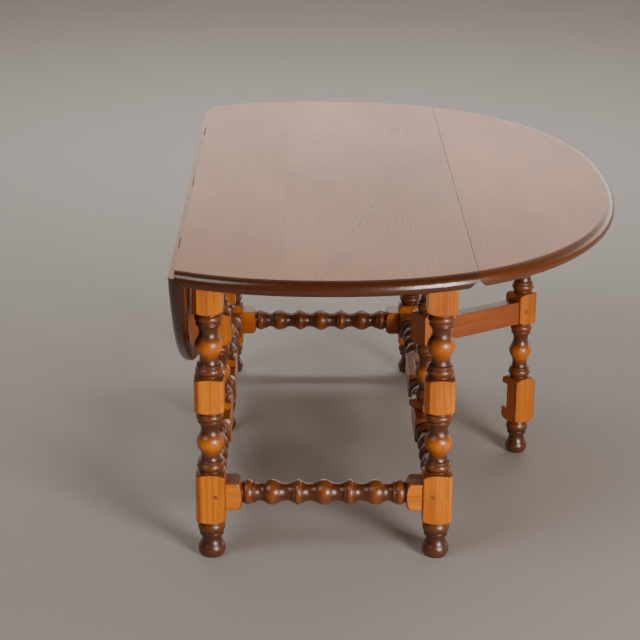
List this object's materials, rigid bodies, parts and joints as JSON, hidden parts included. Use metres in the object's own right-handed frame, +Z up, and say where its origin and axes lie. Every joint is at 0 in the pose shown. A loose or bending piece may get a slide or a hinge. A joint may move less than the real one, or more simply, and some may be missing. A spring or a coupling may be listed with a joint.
{
  "type": "gateleg table",
  "caption": "Low oval gateleg table with two drop leaves, turned legs and stretchers; right leaf raised on its swung gate, left leaf hanging.",
  "frame": {"origin": "on the floor, at the middle of the table's box in the stored pose (right leaf raised, left leaf hanging)", "axes": "+X across the table towards the raised leaf, +Y along the centre board, +Z up"},
  "size_m": [0.6666, 1.0704, 0.479],
  "materials": {
    "top_wood": "dark reddish-brown stained oak, satin lacquer",
    "turned_wood": "honey-orange stained oak, darker in the turned hollows, gloss lacquer",
    "rail_wood": "honey-orange stained oak, satin lacquer",
    "peg_wood": "dark end grain",
    "hinge_brass": "brass aged dark",
    "screw_steel": "dulled steel"
  },
  "bodies": {
    "frame": {"leg_front_left": "turned_wood", "leg_front_right": "turned_wood", "leg_back_left": "turned_wood", "leg_back_right": "turned_wood", "stretcher_front": "turned_wood", "stretcher_back": "turned_wood", "stretcher_left": "turned_wood", "stretcher_right": "turned_wood", "apron_left": "rail_wood", "apron_right": "rail_wood", "end_rail_front": "rail_wood", "end_rail_back": "rail_wood", "stretcher_pegs": "peg_wood", "top_blocks": "rail_wood", "top_screws": "screw_steel", "centre_board": "top_wood", "hinge_plates_board_left": "hinge_brass", "hinge_plates_board_right": "hinge_brass", "hinge_screws_board_left": "screw_steel", "hinge_screws_board_right": "screw_steel", "hinge_pins_left": "hinge_brass", "hinge_pins_right": "hinge_brass"},
    "leaf_left_body": {"leaf_left": "top_wood", "hinge_plates_leaf_left": "hinge_brass", "hinge_screws_leaf_left": "screw_steel"},
    "gate_left_body": {"gate_leg_left": "turned_wood", "gate_rail_left": "turned_wood", "gate_post_left": "turned_wood", "gate_pegs_left": "peg_wood"},
    "leaf_right_body": {"leaf_right": "top_wood", "hinge_plates_leaf_right": "hinge_brass", "hinge_screws_leaf_right": "screw_steel"},
    "gate_right_body": {"gate_leg_right": "turned_wood", "gate_rail_right": "turned_wood", "gate_post_right": "turned_wood", "gate_pegs_right": "peg_wood"}
  },
  "joints": [
    {"name": "left_leaf_hinge", "type": "hinge", "parent": "frame", "child": "leaf_left_body", "pos_m": [-0.32425, 0, 0.47], "axis": [0, 1, 0], "range_deg": [0, 90]},
    {"name": "right_leaf_hinge", "type": "hinge", "parent": "frame", "child": "leaf_right_body", "pos_m": [0.08475, 0, 0.47], "axis": [0, -1, 0], "range_deg": [0, 3.5]},
    {"name": "right_gate_swing", "type": "hinge", "parent": "frame", "child": "gate_right_body", "pos_m": [0.04625, -0.095, 0.25], "axis": [0, 0, 1], "range_deg": [0, 58]},
    {"name": "left_gate_swing", "type": "hinge", "parent": "frame", "child": "gate_left_body", "pos_m": [-0.28575, -0.095, 0.25], "axis": [0, 0, 1], "range_deg": [0, 1.5]}
  ]
}
